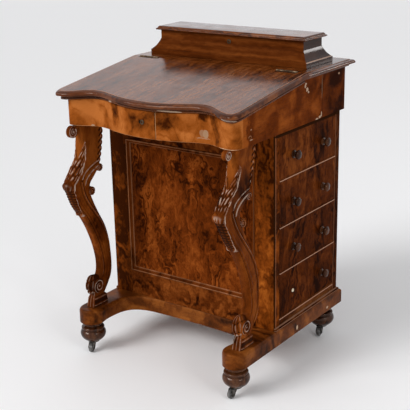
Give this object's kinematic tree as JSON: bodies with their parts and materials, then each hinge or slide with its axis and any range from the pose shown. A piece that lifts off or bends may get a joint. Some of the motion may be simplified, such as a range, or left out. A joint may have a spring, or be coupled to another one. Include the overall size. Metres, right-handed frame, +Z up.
{
  "type": "davenport desk",
  "caption": "Davenport desk: side-drawer pedestal on a shaped plinth with bun feet and castors, carved scroll legs, serpentine box with hinged slope and stationery box.",
  "frame": {"origin": "on the floor, under the centre of the desk's bounding box", "axes": "+Z up, +X to the right with the drawers, -Y to the sitter"},
  "size_m": [0.5658, 0.5786, 0.85],
  "materials": {
    "walnut": "french-polished walnut veneer",
    "walnut_burr": "french-polished burr walnut veneer",
    "walnut_carved": "polished solid walnut, worn on the carving",
    "walnut_bead": "worn cock bead",
    "lining": "waxed drawer lining",
    "brass": "aged brass",
    "iron": "dark iron",
    "wheel": "pale glazed castor wheel"
  },
  "bodies": {
    "case": {"back_panel": "walnut", "base_moulding": "walnut", "box_back": "walnut", "box_floor": "lining", "box_front": "walnut", "box_left_side": "walnut", "box_right_side": "walnut", "castor_cups": "iron", "drawer_rails": "walnut_bead", "drawer_runners": "lining", "dummy_drawer_fronts": "walnut_burr", "dummy_knobs": "walnut_carved", "dust_board": "lining", "flat_top": "walnut", "front_left_foot": "walnut_carved", "front_panel": "walnut_burr", "front_posts": "walnut", "front_rails": "walnut", "front_right_foot": "walnut_carved", "left_leg": "walnut_carved", "left_side_panel": "walnut", "panel_moulding": "walnut", "pen_drawer_guide": "lining", "plinth": "walnut", "rear_left_foot": "walnut_carved", "rear_posts": "walnut", "rear_right_foot": "walnut_carved", "right_leg": "walnut_carved", "slope_hinge_fixed_leaves": "brass", "slope_lock": "brass", "stationery_box": "walnut", "stationery_dividers": "lining", "stationery_escutcheon": "brass", "stationery_hinge_fixed_leaves": "brass", "well_partition": "lining"},
    "slope": {"slope": "walnut", "slope_hinge_moving_leaves": "brass"},
    "stationery_lid": {"stationery_lid": "walnut", "stationery_hinge_moving_leaves": "brass"},
    "drawer_1": {"drawer_1_front": "walnut_burr", "drawer_1_box": "lining", "drawer_1_knobs": "walnut_carved"},
    "drawer_2": {"drawer_2_front": "walnut_burr", "drawer_2_box": "lining", "drawer_2_knobs": "walnut_carved"},
    "drawer_3": {"drawer_3_front": "walnut_burr", "drawer_3_box": "lining", "drawer_3_knobs": "walnut_carved"},
    "drawer_4": {"drawer_4_front": "walnut_burr", "drawer_4_box": "lining", "drawer_4_knobs": "walnut_carved"},
    "pen_drawer": {"pen_drawer": "walnut"},
    "front_left_castor": {"front_left_castor_fork": "iron"},
    "front_left_wheel": {"front_left_castor_wheel": "wheel"},
    "front_right_castor": {"front_right_castor_fork": "iron"},
    "front_right_wheel": {"front_right_castor_wheel": "wheel"},
    "rear_left_castor": {"rear_left_castor_fork": "iron"},
    "rear_left_wheel": {"rear_left_castor_wheel": "wheel"},
    "rear_right_castor": {"rear_right_castor_fork": "iron"},
    "rear_right_wheel": {"rear_right_castor_wheel": "wheel"}
  },
  "joints": [
    {"name": "slope_hinge", "type": "hinge", "parent": "case", "child": "slope", "pos_m": [0, 0.0487, 0.774], "axis": [-1, 0, 0], "range_deg": [0, 105]},
    {"name": "stationery_lid_hinge", "type": "hinge", "parent": "case", "child": "stationery_lid", "pos_m": [0, 0.2094, 0.8369], "axis": [-1, 0, 0], "range_deg": [0, 95]},
    {"name": "drawer_1_slide", "type": "slide", "parent": "case", "child": "drawer_1", "axis": [1, 0, 0], "range_m": [0, 0.3]},
    {"name": "drawer_2_slide", "type": "slide", "parent": "case", "child": "drawer_2", "axis": [1, 0, 0], "range_m": [0, 0.3]},
    {"name": "drawer_3_slide", "type": "slide", "parent": "case", "child": "drawer_3", "axis": [1, 0, 0], "range_m": [0, 0.3]},
    {"name": "drawer_4_slide", "type": "slide", "parent": "case", "child": "drawer_4", "axis": [1, 0, 0], "range_m": [0, 0.3]},
    {"name": "pen_drawer_slide", "type": "slide", "parent": "case", "child": "pen_drawer", "axis": [1, 0, 0], "range_m": [0, 0.18]},
    {"name": "front_left_castor_swivel", "type": "hinge", "parent": "case", "child": "front_left_castor", "pos_m": [-0.2375, -0.2193, 0.026], "axis": [0, 0, 1], "continuous": true},
    {"name": "front_left_wheel_roll", "type": "hinge", "parent": "front_left_castor", "child": "front_left_wheel", "pos_m": [-0.23134, -0.23621, 0.012], "axis": [0.9397, 0.342, 0], "continuous": true},
    {"name": "front_right_castor_swivel", "type": "hinge", "parent": "case", "child": "front_right_castor", "pos_m": [0.2375, -0.2193, 0.026], "axis": [0, 0, 1], "continuous": true},
    {"name": "front_right_wheel_roll", "type": "hinge", "parent": "front_right_castor", "child": "front_right_wheel", "pos_m": [0.23437, -0.23703, 0.012], "axis": [0.9848, -0.1736, 0], "continuous": true},
    {"name": "rear_left_castor_swivel", "type": "hinge", "parent": "case", "child": "rear_left_castor", "pos_m": [-0.2375, 0.2097, 0.026], "axis": [0, 0, 1], "continuous": true},
    {"name": "rear_left_wheel_roll", "type": "hinge", "parent": "rear_left_castor", "child": "rear_left_wheel", "pos_m": [-0.23969, 0.19183, 0.012], "axis": [0.9925, -0.1219, 0], "continuous": true},
    {"name": "rear_right_castor_swivel", "type": "hinge", "parent": "case", "child": "rear_right_castor", "pos_m": [0.2375, 0.2097, 0.026], "axis": [0, 0, 1], "continuous": true},
    {"name": "rear_right_wheel_roll", "type": "hinge", "parent": "rear_right_castor", "child": "rear_right_wheel", "pos_m": [0.24063, 0.19197, 0.012], "axis": [0.9848, 0.1736, 0], "continuous": true}
  ]
}
